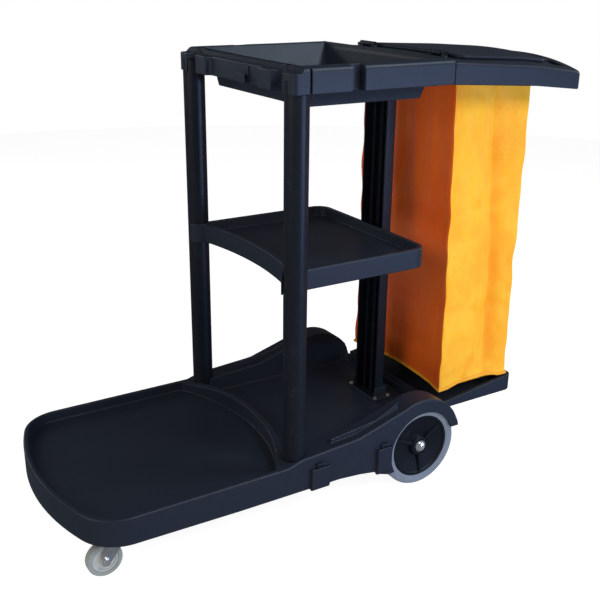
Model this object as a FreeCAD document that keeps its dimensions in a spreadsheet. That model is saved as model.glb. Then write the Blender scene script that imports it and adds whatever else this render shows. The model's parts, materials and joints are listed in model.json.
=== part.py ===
import FreeCAD, Part
import math
import os
import Sketcher

# Wheeled housekeeping cart: a moulded two-level deck on two large rear wheels and two
# swivel casters, two front posts and one rear column, a middle shelf, a top tray with a
# deep bin, and a rear handle frame that carries a hanging bag under a hinged lid.
#
# Frame: origin on the floor under the middle of the cart, +X towards the handle,
# +Y to the left of a person who pushes, +Z up. All sizes are in millimetres.

DOC = FreeCAD.newDocument("housekeeping_cart")
SHEET = DOC.addObject("Spreadsheet::Sheet", "sizes")
V = FreeCAD.Vector

SIZES = {
    # base moulding
    "deck_front": -649, "deck_half": 260, "deck_corner": 94, "nose_radius": 575,
    "skin": 4, "rim_top": 155, "skirt_bottom": 95, "skirt_low": 57,
    "front_floor": 131, "front_rim": 11, "mid_floor": 128, "mid_half": 204,
    "ridge_apex": -127, "ridge_radius": 487, "ridge_width": 14, "mid_rear": 290,
    "rear_lip": 150, "fender_x": 190, "fender_z": 108, "fender_radius": 117,
    "arch_radius": 90, "pocket_rise": 9, "pocket_gap": 6,
    # rear wheels
    "axle_x": 196, "wheel_radius": 100, "wheel_outer": 253, "wheel_width": 40,
    "rim_radius": 78, "axle_radius": 8, "bush_radius": 13, "running_gap": 0.05,
    "side_gap": 0.4,
    # casters
    "swivel_x": -547, "swivel_y": 197, "caster_trail": 25, "caster_radius": 37.5,
    "caster_width": 22, "core_radius": 27, "fork_top": 94, "fork_plate": 4,
    "leg_gap": 13, "leg_thickness": 3, "kingpin_radius": 5, "plate_bottom": 100,
    "plate_thickness": 3,
    # uprights
    "post_x": -142, "post_y": 228, "post_radius": 24.8, "post_wall": 3, "post_foot": 115,
    "column_front": 211, "column_rear": 238, "column_half": 44, "column_wall": 4,
    "head_plate": 7,
    # shelf
    "shelf_rear": 214, "shelf_half": 218, "shelf_front": -147, "shelf_apex": -117,
    "shelf_top": 583, "shelf_bottom": 538, "shelf_floor": 558, "shelf_corner": 38,
    "shelf_rim": 11,
    # top tray
    "tray_front": -166, "tray_rear": 222.6, "tray_half": 254, "tray_bottom": 941,
    "tray_top": 981, "tray_rise": 11, "tray_shoulder": 12, "bin_front": -104,
    "bin_rear": 214, "bin_half": 196, "bin_bottom": 908, "bin_flare": 32,
    "notch_inner": 168, "notch_outer": 214, "notch_depth": 30, "side_notch": 21,
    "lug_inner": 117, "lug_depth": 12,
    # handle frame, lid and bag
    "frame_front": 223, "frame_side": 596, "frame_apex": 649, "bow_radius": 635,
    "frame_half": 254, "frame_middle": 460, "front_top": 990, "middle_top": 984,
    "rear_top": 972, "front_crown": 4, "middle_crown": 16, "rear_crown": 32,
    "front_depth": 46, "middle_depth": 44, "rear_depth": 38, "grip_width": 28, "slot_width": 34,
    "opening_front": 292, "opening_rear": 534, "opening_half": 182,
    "lid_front": 284, "lid_rear": 541, "lid_half": 200, "lid_rise": 8, "lid_gap": 0.6,
    "hinge_x": 276, "hinge_z": 994, "hinge_radius": 5.5, "pin_radius": 3,
    "bag_front": 298, "bag_rear": 528, "bag_top_half": 172, "bag_base_half": 192,
    "bag_bottom": 186, "bag_top": 966, "bag_wall": 3, "peg_z": 955,
    # rear platform
    "platform_rear": 538, "platform_half": 192, "platform_low": 142, "platform_floor": 148,
    "platform_front_top": 156, "platform_rear_top": 186,
}
for row, (alias, number) in enumerate(SIZES.items(), start=1):
    SHEET.set(f"A{row}", alias)
    SHEET.set(f"B{row}", str(number))
    SHEET.setAlias(f"B{row}", alias)
DOC.recompute()


class Size:
    """A number and the sheet expression that it is bound to."""

    def __init__(self, value, text):
        self.value = float(value)
        self.text = text

    def __add__(self, other):
        other = size(other)
        return Size(self.value + other.value, f"({self.text} + {other.text})")

    def __sub__(self, other):
        other = size(other)
        return Size(self.value - other.value, f"({self.text} - {other.text})")

    def __mul__(self, other):
        other = size(other)
        return Size(self.value * other.value, f"({self.text} * {other.text})")

    def __radd__(self, other):
        return size(other) + self

    def __rsub__(self, other):
        return size(other) - self

    def __rmul__(self, other):
        return size(other) * self

    def __neg__(self):
        return size(0) - self


def size(number):
    """The number as a Size."""
    return number if isinstance(number, Size) else Size(number, f"({float(number)})")


def root(number):
    return Size(math.sqrt(number.value), f"sqrt({number.text})")


def bow_x(apex, radius, y):
    """X of a bow that bulges towards +X, at the distance y from the middle."""
    return apex - radius + root(radius * radius - size(y) * y)


S = {alias: Size(number, f"sizes.{alias}") for alias, number in SIZES.items()}


def bind(item, prop, number):
    """Binds one property of an object to a size."""
    number = size(number)
    item.setExpression(prop, number.text)


# ---------------------------------------------------------------- primitives

def place(item, point):
    for axis, number in zip("xyz", point):
        bind(item, f".Placement.Base.{axis}", number)
    return item


def box(name, low, high):
    """A box between two corners."""
    item = DOC.addObject("Part::Box", name)
    for prop, start, end in zip(("Length", "Width", "Height"), low, high):
        bind(item, prop, size(end) - start)
    return place(item, low)


TURN = {"x": FreeCAD.Rotation(V(0, 1, 0), 90), "y": FreeCAD.Rotation(V(1, 0, 0), -90),
        "z": FreeCAD.Rotation()}


def cylinder(name, axis, base, radius, length):
    """A cylinder that grows from base along +axis."""
    item = DOC.addObject("Part::Cylinder", name)
    bind(item, "Radius", radius)
    bind(item, "Height", length)
    item.Placement = FreeCAD.Placement(V(0, 0, 0), TURN[axis])
    return place(item, base)


def fuse(name, items):
    item = DOC.addObject("Part::MultiFuse", name)
    item.Shapes = items
    item.Refine = True
    return item


def common(name, items):
    item = DOC.addObject("Part::MultiCommon", name)
    item.Shapes = items
    return item


def cut(name, base, tools):
    item = DOC.addObject("Part::Cut", name)
    item.Base = base
    item.Tool = tools[0] if len(tools) == 1 else group(f"{name}_tools", tools)
    item.Refine = True
    return item


def group(name, items):
    item = DOC.addObject("Part::Compound", name)
    item.Links = items
    return item


def mirrored(name, source):
    """The same piece on the other side of the cart."""
    item = DOC.addObject("Part::Mirroring", name)
    item.Source = source
    item.Normal = V(0, 1, 0)
    return item


def ring(name, axis, base, outer, inner, length):
    solid = cylinder(f"{name}_outside", axis, base, outer, length)
    bore = cylinder(f"{name}_bore", axis, base, inner, length)
    return cut(name, solid, [bore])


# ---------------------------------------------------------------- sketched bodies

def new_sketch(body, name, plane, offset, points):
    """A closed outline on one of the body's planes.

    Each point is (u, v), or (u, v, radius, bulge) where an arc of that radius runs to
    the next point. The bulge is +1 where the arc passes to the right of its chord.
    """
    sketch = body.newObject("Sketcher::SketchObject", name)
    origin = [item for item in body.Origin.OriginFeatures if item.Role == f"{plane}_Plane"]
    sketch.AttachmentSupport = [(origin[0], "")]
    sketch.MapMode = "FlatFace"
    bind(sketch, ".AttachmentOffset.Base.z", offset)
    count = len(points)
    ends = []
    for index, point in enumerate(points):
        start = V(size(point[0]).value, size(point[1]).value, 0)
        following = points[(index + 1) % count]
        end = V(size(following[0]).value, size(following[1]).value, 0)
        if len(point) == 2:
            sketch.addGeometry(Part.LineSegment(start, end), False)
            ends.append((1, 2))
            continue
        radius = size(point[2])
        chord = end - start
        side = V(chord.y, -chord.x, 0).normalize() * point[3]
        rise = radius.value - math.sqrt(radius.value ** 2 - (chord.Length / 2) ** 2)
        middle = (start + end) * 0.5 + side * rise
        geometry = sketch.addGeometry(Part.Arc(start, middle, end), False)
        forward = sketch.getPoint(geometry, 1).distanceToPoint(start) < 1e-3
        ends.append((1, 2) if forward else (2, 1))
    for index in range(count):
        after = (index + 1) % count
        sketch.addConstraint(
            Sketcher.Constraint("Coincident", index, ends[index][1], after, ends[after][0]))
    for index, point in enumerate(points):
        for kind, number in zip(("DistanceX", "DistanceY"), point):
            number = size(number)
            rule = Sketcher.Constraint(kind, index, ends[index][0], number.value)
            place_in_list = sketch.addConstraint(rule)
            sketch.setExpression(f"Constraints[{place_in_list}]", number.text)
        if len(point) > 2:
            radius = size(point[2])
            rule = Sketcher.Constraint("Radius", index, radius.value)
            place_in_list = sketch.addConstraint(rule)
            sketch.setExpression(f"Constraints[{place_in_list}]", radius.text)
    sketch.Visibility = False
    return sketch


def prism(name, plane, points, low, high, corners=()):
    """A pad of an outline from low to high along the plane's axis, with rounded corners.

    Each corner is (u, v, radius): the edge that rises from that point is rounded.
    """
    body = DOC.addObject("PartDesign::Body", name)
    start = -size(high) if plane == "XZ" else size(low)
    sketch = new_sketch(body, f"{name}_outline", plane, start, points)
    pad = body.newObject("PartDesign::Pad", f"{name}_pad")
    pad.Profile = sketch
    bind(pad, "Length", size(high) - low)
    radii = {}
    for corner in corners:
        radii.setdefault(size(corner[2]).text, []).append(corner)
    for index, rounds in enumerate(radii.values()):
        DOC.recompute()
        tip = body.Tip
        picked = [f"Edge{number}" for number, edge in enumerate(tip.Shape.Edges, start=1)
                  if is_corner(edge, plane, rounds)]
        fillet = body.newObject("PartDesign::Fillet", f"{name}_round{index}")
        fillet.Base = (tip, picked)
        bind(fillet, "Radius", rounds[0][2])
    return body


def is_corner(edge, plane, corners):
    """True for a straight edge across the plane that passes through one of the corners."""
    if edge.Curve.TypeId != "Part::GeomLine":
        return False
    first, last = edge.Vertexes[0].Point, edge.Vertexes[-1].Point
    flat = {"XY": lambda p: (p.x, p.y), "XZ": lambda p: (p.x, p.z),
            "YZ": lambda p: (p.y, p.z)}[plane]
    if math.dist(flat(first), flat(last)) > 1e-3:
        return False
    return any(math.dist(flat(first), (size(u).value, size(v).value)) < 0.01
               for u, v, _ in corners)


def turned(name, points, x, z):
    """A ring about a line along Y: points are (radius, y) of its half section."""
    body = DOC.addObject("PartDesign::Body", name)
    sketch = new_sketch(body, f"{name}_section", "XY", 0, points)
    spin = body.newObject("PartDesign::Revolution", f"{name}_turn")
    spin.Profile = sketch
    spin.ReferenceAxis = (sketch, ["V_Axis"])
    spin.Angle = 360
    return place(body, (x, 0, z))


def across(hand, near, far):
    """The lower and the higher Y of a span that lies from near to far on one side."""
    return (near, far) if hand > 0 else (-size(far), -size(near))


def rectangle(low_u, low_v, high_u, high_v):
    return [(low_u, low_v), (high_u, low_v), (high_u, high_v), (low_u, high_v)]


# ---------------------------------------------------------------- base moulding

def deck_outline(inset):
    """The deck seen from above: straight sides and a bowed nose."""
    half = S["deck_half"] - inset
    radius = S["nose_radius"] - inset
    front = S["deck_front"] + S["nose_radius"]
    corner = front - root(radius * radius - half * half)
    points = [(306, -half), (306, half), (corner, half, radius, 1), (corner, -half)]
    rounds = [(corner, side * half, S["deck_corner"] - inset) for side in (1, -1)]
    return points, rounds


def deck_profile(drop):
    """The deck seen from the side: flat rim, rising ramp and round fender."""
    radius = S["fender_radius"] - drop
    tip_z = 131
    start_x = S["fender_x"] - 50
    start_z = S["fender_z"] + root(radius * radius - size(50) * 50)
    tip_x = S["fender_x"] + root(radius * radius - (tip_z - S["fender_z"]) * (tip_z - S["fender_z"]))
    rim = S["rim_top"] - drop
    return [(-660, S["skirt_bottom"]), (-293, 88), (-39, 87), (16, 82), (58, 75), (73, 65),
            (97, S["skirt_low"]), (S["axle_x"], S["skirt_low"]), (S["axle_x"], tip_z),
            (tip_x, tip_z, radius, 1), (start_x, start_z), (12, rim + 21), (-138, rim + 11),
            (-174, rim), (-660, rim)]


def front_recess(grow):
    """The shallow tray of the front deck, behind the bowed nose."""
    half = S["deck_half"] - S["front_rim"] + grow
    radius = S["nose_radius"] - S["front_rim"] + grow
    middle = S["deck_front"] + S["nose_radius"]
    corner = middle - root(radius * radius - half * half)
    back = S["ridge_radius"] + grow
    rear = bow_x(S["ridge_apex"] + grow, back, half)
    points = [(rear, -half, back, 1), (rear, half), (corner, half, radius, 1), (corner, -half)]
    rounds = [(corner, side * half, S["deck_corner"] - S["front_rim"] + grow) for side in (1, -1)]
    rounds += [(rear, side * half, size(16) + grow) for side in (1, -1)]
    return prism(f"front_recess_{'wall' if grow else 'room'}", "XY", points,
                 S["front_floor"] - grow, 260, rounds)


def mid_recess(grow):
    """The deeper tray between the posts and the rear wheels."""
    half = S["mid_half"] + grow
    apex = S["ridge_apex"] + S["ridge_width"] - grow
    radius = S["ridge_radius"] + S["ridge_width"] - grow
    front = bow_x(apex, radius, half)
    rear = S["mid_rear"] + grow
    points = [(front, -half), (rear, -half), (rear, half), (front, half, radius, -1)]
    rounds = [(rear, side * half, size(22) + grow) for side in (1, -1)]
    return prism(f"mid_recess_{'wall' if grow else 'room'}", "XY", points,
                 S["mid_floor"] - grow, 260, rounds)


def skirt_pocket(name, side, low_x, high_x, low_z, high_z):
    """A flat pocket on the outside of the skirt, open at its top."""
    wall = S["deck_half"] + S["pocket_rise"]
    points = [(S["deck_half"] - 2, low_z), (wall - 3, low_z), (wall, size(low_z) + 8),
              (wall, high_z), (S["deck_half"] - 2, high_z)]
    points = [(u * side, v) for u, v in (points if side > 0 else reversed(points))]
    return prism(name, "YZ", points, low_x, high_x)


POCKETS = {"front": (-118, -71, 84, 138), "rear": (60, 100, 70, 136)}


def base_deck():
    plan = prism("deck_plan", "XY", deck_outline(0)[0], 40, 240, deck_outline(0)[1])
    inner_plan = prism("deck_inner_plan", "XY", deck_outline(S["skin"])[0], 0, 240,
                       deck_outline(S["skin"])[1])
    side = prism("deck_side", "XZ", deck_profile(0), -270, 270)
    low = [(-660, 0), (S["axle_x"], 0), (320, 0)]
    inner_side = prism("deck_inner_side", "XZ",
                       low + deck_profile(S["skin"])[9:], -270, 270)
    middle = box("deck_middle", (100, -S["mid_half"] - S["skin"], 110),
                 (S["mid_rear"] + S["skin"], S["mid_half"] + S["skin"], S["rear_lip"]))
    hollow = cut("deck_hollow", common("deck_inside", [inner_plan, inner_side]),
                 [front_recess(S["skin"]), mid_recess(S["skin"])])
    shell = cut("deck_shell", fuse("deck_blank", [common("deck_outer", [plan, side]), middle]),
                [hollow, front_recess(0), mid_recess(0)])
    pieces = [shell]
    for hand in (1, -1):
        tag = "left" if hand > 0 else "right"
        y = S["post_y"] * hand
        pieces.append(cylinder(f"post_boss_{tag}", "z", (S["post_x"], y, 104), 28.5, 49))
        plate_y = S["swivel_y"] * hand
        pieces.append(box(f"caster_boss_{tag}",
                          (S["swivel_x"] - 34, plate_y - 30, S["plate_bottom"] + S["plate_thickness"]),
                          (S["swivel_x"] + 34, plate_y + 30, S["front_floor"] - 2)))
        inner, outer = sorted((hand * 196, hand * 208))
        pieces.append(box(f"axle_bracket_{tag}", (S["axle_x"] - 32, inner, 80),
                          (S["axle_x"] + 32, outer, S["mid_floor"] - 2)))
        ridge = [(-52, 166), (2, 171), (71, 184), (112, 196), (134, 204), (134, 228),
                 (112, 214), (71, 196), (2, 187), (-52, 181)]
        low_y, high_y = sorted((hand * 231, hand * 238))
        pieces.append(prism(f"tool_ridge_{tag}", "XZ", ridge, low_y, high_y))
        for spot, (low_x, high_x, low_z, high_z) in POCKETS.items():
            pieces.append(skirt_pocket(f"pocket_{spot}_{tag}", hand, low_x, high_x, low_z, high_z))
    blank = fuse("deck_with_bosses", pieces)
    arch = cylinder("wheel_arch", "y", (S["axle_x"], -300, S["wheel_radius"]),
                    S["arch_radius"], 600)
    keep = box("arch_middle", (80, -216, 0), (320, 216, 260))
    tools = [cut("wheel_arches", arch, [keep]),
             cylinder("axle_bore", "y", (S["axle_x"], -215, S["wheel_radius"]),
                      S["axle_radius"] + S["running_gap"], 430),
             box("rear_cut", (S["mid_rear"] - 6, -S["mid_half"], S["rear_lip"]),
                 (320, S["mid_half"], 260)),
             box("rear_end", (S["mid_rear"] + S["skin"], -S["mid_half"] - S["skin"], 60),
                 (320, S["mid_half"] + S["skin"], 260))]
    for hand in (1, -1):
        tag = "left" if hand > 0 else "right"
        y = S["post_y"] * hand
        tools.append(cylinder(f"post_socket_{tag}", "z", (S["post_x"], y, S["post_foot"]),
                              S["post_radius"] + 0.1, 200))
        tools.append(cylinder(f"post_screw_way_{tag}", "z", (S["post_x"], y, 90), 4.2, 40))
        for spot, (low_x, high_x, low_z, high_z) in POCKETS.items():
            slot_y = S["deck_half"] + 0.5
            low_y, high_y = across(hand, slot_y, slot_y + S["pocket_gap"])
            tools.append(box(f"pocket_slot_{spot}_{tag}", (low_x + 4, low_y, high_z - 40),
                             (high_x - 4, high_y, high_z + 5)))
    return cut("base_deck", blank, tools)


# ---------------------------------------------------------------- uprights and shelf

def front_post(name, hand):
    return ring(name, "z", (S["post_x"], S["post_y"] * hand, S["post_foot"]), S["post_radius"],
                S["post_radius"] - S["post_wall"], S["tray_bottom"] + 24 - S["post_foot"])


def column_section():
    """The open channel of the rear column, seen from above."""
    half, wall = S["column_half"], S["column_wall"]
    front, rear = S["column_front"], S["column_rear"]
    return [(front, -half), (rear, -half), (rear, half), (front, half), (front, half - wall),
            (rear - wall, half - wall), (rear - wall, wall - half), (front, wall - half)]


def rear_column():
    top = S["tray_bottom"] - S["head_plate"]
    channel = prism("column_channel", "XY", column_section(), S["mid_floor"], top,
                    [(S["column_rear"], side * S["column_half"], 5) for side in (1, -1)])
    ribs = [box(f"column_rib{index}", (S["column_front"] + 9, y - 1.5, S["mid_floor"] + 4),
                (S["column_rear"] - 2, y + 1.5, top - 4)) for index, y in enumerate((-15, 15))]
    return fuse("rear_column", [channel] + ribs)


def column_foot():
    half = S["column_half"] + 14
    plate = prism("foot_plate", "XY", rectangle(198, -half, 252, half), S["mid_floor"], 136,
                  [(x, side * half, 8) for x in (198, 252) for side in (1, -1)])
    collar = box("foot_collar", (S["column_front"] - 4, -S["column_half"] - 5, 130),
                 (S["column_rear"] + 4, S["column_half"] + 5, 162))
    room = box("foot_room", (S["column_front"] - 6, -S["column_half"] - 0.1, 100),
               (S["column_rear"] + 0.1, S["column_half"] + 0.1, 200))
    return cut("column_foot", fuse("foot_blank", [plate, collar]), [room])


def shelf_outline(inset):
    half, rear = S["shelf_half"] - inset, S["shelf_rear"] - inset
    front = S["shelf_front"] + inset
    rise = S["shelf_apex"] - S["shelf_front"]
    radius = (half * half + rise * rise) * size(0.5 / (rise.value))
    points = [(front, -half), (rear, -half), (rear, half), (front, half, radius, -1)]
    return points, [(rear, side * half, S["shelf_corner"] - inset) for side in (1, -1)]


def shelf():
    """A dished shelf with a hollow bow in front, cut round to sit on the posts."""
    blank = prism("shelf_blank", "XY", shelf_outline(0)[0], S["shelf_bottom"],
                  S["shelf_top"], shelf_outline(0)[1])
    dish = prism("shelf_dish", "XY", shelf_outline(S["shelf_rim"])[0], S["shelf_floor"],
                 700, shelf_outline(S["shelf_rim"])[1])
    under = prism("shelf_under", "XY", shelf_outline(S["skin"])[0], 500,
                  S["shelf_floor"] - S["skin"], shelf_outline(S["skin"])[1])
    collars, bores = [], []
    for hand in (1, -1):
        tag = "left" if hand > 0 else "right"
        at = (S["post_x"], S["post_y"] * hand, S["shelf_bottom"])
        collars.append(cylinder(f"shelf_collar_{tag}", "z", at, S["post_radius"] + 4.5,
                                S["shelf_top"] - S["shelf_bottom"]))
        bores.append(cylinder(f"shelf_bore_{tag}", "z", (at[0], at[1], 400),
                              S["post_radius"] + 0.1, 400))
    bores.append(box("column_bore", (S["column_front"], -S["column_half"] - 0.1, 400),
                     (S["column_rear"] + 1, S["column_half"] + 0.1, 700)))
    collar_zone = box("collar_zone", (-200, -S["shelf_half"], 400),
                      (300, S["shelf_half"], 700))
    held = common("shelf_collars", [group("collar_pair", collars), collar_zone])
    hollowed = cut("shelf_hollowed", blank, [dish, under])
    return cut("shelf", fuse("shelf_with_collars", [hollowed, held]), bores)


# ---------------------------------------------------------------- top tray

def tray_plan(inset):
    front, half = S["tray_front"] + inset, S["tray_half"] - inset
    rear = S["tray_rear"] - inset
    return rectangle(front, -half, rear, half), [(front, s * half, size(12) - inset) for s in (1, -1)]


def bin_walls(name, inset, top):
    """The deep bin: upright below the tray, and opening out to the rim on every side."""
    front, rear, half = S["bin_front"] + inset, S["bin_rear"] - inset, S["bin_half"] - inset
    floor, knee, rim = S["bin_bottom"] + inset, S["tray_bottom"], S["tray_top"] + S["tray_rise"]
    side = [(front + 6, floor), (186 - inset, floor), (196 - inset, knee), (rear, 978),
            (rear, top), (front - S["bin_flare"], top), (front - S["bin_flare"], rim), (front, knee)]
    wide = half + S["bin_flare"]
    section = [(6 - half, floor), (half - 6, floor), (half, knee), (wide, rim), (wide, top),
               (-wide, top), (-wide, rim), (-half, knee)]
    return common(name, [prism(f"{name}_side", "XZ", side, -wide, wide),
                         prism(f"{name}_section", "YZ", section, -200, 300)])


def tray_crown(inset):
    """The tray's round-shouldered outside, seen from the rear and from the side."""
    half, low = S["tray_half"] - inset, S["tray_bottom"] - inset
    top, rise = S["tray_top"] - inset, S["tray_rise"]
    ridge = half - S["tray_shoulder"]
    edge, brow = top + rise - 8, top + rise - 2.5
    section = [(-half, low), (half, low), (half, edge), (half - 4, brow), (ridge, top + rise),
               (-ridge, top + rise), (4 - half, brow), (-half, edge)]
    front, rear = S["tray_front"] - 20, S["tray_rear"]
    side = [(front, low), (rear + 20, low), (rear + 20, brow), (rear, brow), (rear - 9, top + rise),
            (S["tray_front"] + 26 + inset, top + rise), (S["tray_front"] + 18 + inset, top),
            (front, top)]
    tag = "_room" if size(inset).value else ""
    return [prism(f"tray_section{tag}", "YZ", section, -220, 280),
            prism(f"tray_side{tag}", "XZ", side, -280, 280)]


def notches(grow):
    """Everything cut into the front and the sides of the tray rim."""
    front = S["tray_front"] - 5
    depth = S["tray_front"] + S["notch_depth"] + grow
    tools = []
    for hand in (1, -1):
        tag = ("left" if hand > 0 else "right") + ("_wall" if size(grow).value else "")
        low, high = across(hand, S["notch_inner"] - grow, S["notch_outer"] + grow)
        tools.append(prism(f"broom_notch_{tag}", "XY", rectangle(front, low, depth, high),
                           900, 1000, [(depth, low, 16), (depth, high, 16)]))
        side_low, side_high = across(hand, S["tray_half"] - S["side_notch"] - grow,
                                     S["tray_half"] + 5)
        tools.append(box(f"side_notch_{tag}", (-31 - grow, side_low, 900),
                         (-3 + grow, side_high, 1000)))
    lug = S["lug_inner"] + grow
    depth = S["tray_front"] + S["lug_depth"] + grow
    tag = "_wall" if size(grow).value else ""
    tools.append(prism(f"centre_notch{tag}", "XY", rectangle(front, -lug, depth, lug), 900, 1000,
                       [(depth, -lug, 8), (depth, lug, 8)]))
    return tools


def top_tray():
    points, rounds = tray_plan(0)
    plan = prism("tray_plan", "XY", points, 900, 1020, rounds)
    blank = common("tray_blank", [plan] + tray_crown(0))
    points, rounds = tray_plan(S["skin"])
    inner_plan = prism("tray_inner_plan", "XY", points, 900, 1020, rounds)
    room = common("tray_room", [inner_plan] + tray_crown(S["skin"]))
    bin_outer = bin_walls("bin_outer", 0, S["tray_top"] + S["tray_rise"] + 0.01)
    bin_inner = bin_walls("bin_inner", S["skin"], 1020)
    posts = []
    for hand in (1, -1):
        tag = "left" if hand > 0 else "right"
        posts.append(cylinder(f"post_cup_{tag}", "z", (S["post_x"], S["post_y"] * hand, 942),
                              S["post_radius"] + 3, 37))
    inside = cut("tray_inside", room, notches(S["skin"]))
    shell = fuse("tray_shell", [cut("tray_skin", blank, [inside]), bin_outer,
                                common("post_cups", [group("cup_pair", posts), blank])])
    tools = notches(0) + [bin_inner]
    for hand in (1, -1):
        tag = "left" if hand > 0 else "right"
        tools.append(cylinder(f"cup_bore_{tag}", "z", (S["post_x"], S["post_y"] * hand, 900),
                              S["post_radius"] + 0.1, S["tray_bottom"] + 24 - 900))
        low, high = across(hand, 246, 260)
        tools.append(box(f"rim_slit_{tag}", (-128, low, 930), (-124.5, high, 1000)))
    return cut("top_tray", shell, tools)


# ---------------------------------------------------------------- handle frame, lid, bag

def crown_section(body, name, x, half, top, sag, depth_top, depth_bottom):
    """One arched cross section of the handle frame."""
    top_mid, low_mid = top + depth_top, top - depth_bottom
    radius = (size(half) * half + size(sag) * sag) * size(0.5 / size(sag).value)
    points = [(-half, low_mid - sag), (-half, top_mid - sag, radius, -1),
              (half, top_mid - sag), (half, low_mid - sag, radius, 1)]
    return new_sketch(body, name, "YZ", x, points)


def crown_slab(name, rise, depths):
    """A slab that follows the falling, arched top of the handle frame."""
    body = DOC.addObject("PartDesign::Body", name)
    half = S["frame_half"] + 6
    places = {"front": S["frame_front"], "middle": S["frame_middle"], "rear": S["frame_apex"] + 1}
    sections = [crown_section(body, f"{name}_{spot}", x, half, S[f"{spot}_top"],
                              S[f"{spot}_crown"], rise, depth)
                for (spot, x), depth in zip(places.items(), depths)]
    loft = body.newObject("PartDesign::AdditiveLoft", f"{name}_loft")
    loft.Profile = sections[0]
    loft.Sections = sections[1:]
    loft.Ruled = True
    return body


def frame_plan(inset):
    half, front = S["frame_half"] - inset, S["frame_front"] + inset
    apex, radius = S["frame_apex"] - inset, S["bow_radius"] - inset
    corner = bow_x(apex, radius, half)
    points = [(front, -half), (corner, -half, radius, 1), (corner, half), (front, half)]
    return points, [(corner, side * half, size(18) - inset) for side in (1, -1)]


def grip_slot(name, low, high, grow):
    """One hand slot that follows the bow of the handle."""
    outer = S["bow_radius"] - S["grip_width"] + grow
    inner = S["bow_radius"] - S["grip_width"] - S["slot_width"] - grow
    middle = S["frame_apex"] - S["bow_radius"]
    low, high = size(low) - grow, size(high) + grow

    def edge(radius, y):
        return middle + root(radius * radius - y * y)

    points = [(edge(inner, low), low), (edge(outer, low), low, outer, 1),
              (edge(outer, high), high), (edge(inner, high), high, inner, -1)]
    rounds = [(u, v, size(12) + grow) for u, v in (point[:2] for point in points)]
    return prism(name, "XY", points, 860, 1020, rounds)


SLOTS = {"middle": (-120, 120), "left": (140, 214), "right": (-214, -140)}


def frame_openings(grow):
    tag = "_wall" if size(grow).value else ""
    half = S["opening_half"] + grow
    low, high = S["opening_front"] - grow, S["opening_rear"] + grow
    corners = [(x, side * half, size(14) + grow) for x in (low, high) for side in (1, -1)]
    tools = [prism(f"bag_opening{tag}", "XY", rectangle(low, -half, high, half), 860, 1020, corners)]
    for name, (start, end) in SLOTS.items():
        tools.append(grip_slot(f"grip_slot_{name}{tag}", start, end, grow))
    return tools


def bag_frame():
    points, rounds = frame_plan(0)
    depths = [S[f"{spot}_depth"] for spot in ("front", "middle", "rear")]
    outer = common("frame_outer", [crown_slab("frame_slab", 0, depths),
                                   prism("frame_plan", "XY", points, 860, 1020, rounds)])
    points, rounds = frame_plan(S["skin"])
    inside = common("frame_inside", [crown_slab("frame_under", -S["skin"], [110] * 3),
                                     prism("frame_inner_plan", "XY", points, 800, 1020, rounds)])
    shell = cut("frame_shell", outer, [cut("frame_hollow", inside, frame_openings(S["skin"]))])
    open_shell = cut("frame_open", shell, frame_openings(0))
    knuckles = []
    for hand in (1, -1):
        tag = "left" if hand > 0 else "right"
        for index, start in enumerate((100, 145.3)):
            low, high = sorted((hand * start, hand * (start + 14.7)))
            knuckles.append(cylinder(f"frame_knuckle_{tag}{index}", "y",
                                     (S["hinge_x"], low, S["hinge_z"]), S["hinge_radius"],
                                     high - low))
            knuckles.append(box(f"frame_knuckle_foot_{tag}{index}",
                                (S["hinge_x"] - 4.5, low, S["hinge_z"] - 10),
                                (S["hinge_x"] + 4.5, high, S["hinge_z"])))
    bore = cylinder("knuckle_bore", "y", (S["hinge_x"], -200, S["hinge_z"]), S["pin_radius"], 400)
    return cut("bag_frame", fuse("frame_with_knuckles", [open_shell] + knuckles), [bore])


def lid():
    points = rectangle(S["lid_front"], -S["lid_half"], S["lid_rear"], S["lid_half"])
    rounds = [(x, side * S["lid_half"], 20) for x in (S["lid_front"], S["lid_rear"])
              for side in (1, -1)]
    plate = common("lid_plate", [crown_slab("lid_slab", S["lid_rise"], [-S["lid_gap"]] * 3),
                                 prism("lid_plan", "XY", points, 860, 1020, rounds)])
    knuckles = []
    for hand in (1, -1):
        tag = "left" if hand > 0 else "right"
        low, high = sorted((hand * 115.3, hand * 144.7))
        knuckles.append(cylinder(f"lid_knuckle_{tag}", "y", (S["hinge_x"], low, S["hinge_z"]),
                                 S["hinge_radius"], high - low))
        knuckles.append(box(f"lid_knuckle_arm_{tag}", (S["hinge_x"], low, S["hinge_z"] - 4),
                            (S["lid_front"] + 6, high, S["hinge_z"] + 1.2)))
    bore = cylinder("lid_bore", "y", (S["hinge_x"], -200, S["hinge_z"]),
                    S["pin_radius"] + S["running_gap"], 400)
    return cut("lid", fuse("lid_with_knuckles", [plate] + knuckles), [bore])


def hinge_pins():
    pins = [cylinder(f"hinge_pin_{index}", "y", (S["hinge_x"], low, S["hinge_z"]),
                     S["pin_radius"], 60) for index, low in enumerate((100, -160))]
    return group("hinge_pins", pins)


def bag_box(name, inset, top):
    """A box that widens towards its base."""
    half, low, base = S["bag_top_half"] - inset, S["bag_base_half"] - inset, S["bag_bottom"] + inset
    section = [(-low, base), (low, base), (half, top), (-half, top)]
    return prism(name, "YZ", section, S["bag_front"] + inset, S["bag_rear"] - inset)


def bag():
    return cut("bag", bag_box("bag_outer", 0, S["bag_top"]),
               [bag_box("bag_inner", S["bag_wall"], S["bag_top"] + 1)])


def bag_hooks():
    """Pegs on the inside of the opening that carry the eyelets of the bag."""
    pegs = []
    for hand in (1, -1):
        for index, x in enumerate((330, 413, 496)):
            low = -S["opening_half"] if hand < 0 else S["bag_top_half"] - 4
            name = f"bag_peg_{'left' if hand > 0 else 'right'}{index}"
            pegs.append(cylinder(name, "y", (x, low, S["peg_z"]), 3,
                                 S["opening_half"] - S["bag_top_half"] + 4))
    return group("bag_hooks", pegs)


# ---------------------------------------------------------------- rear platform

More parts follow.
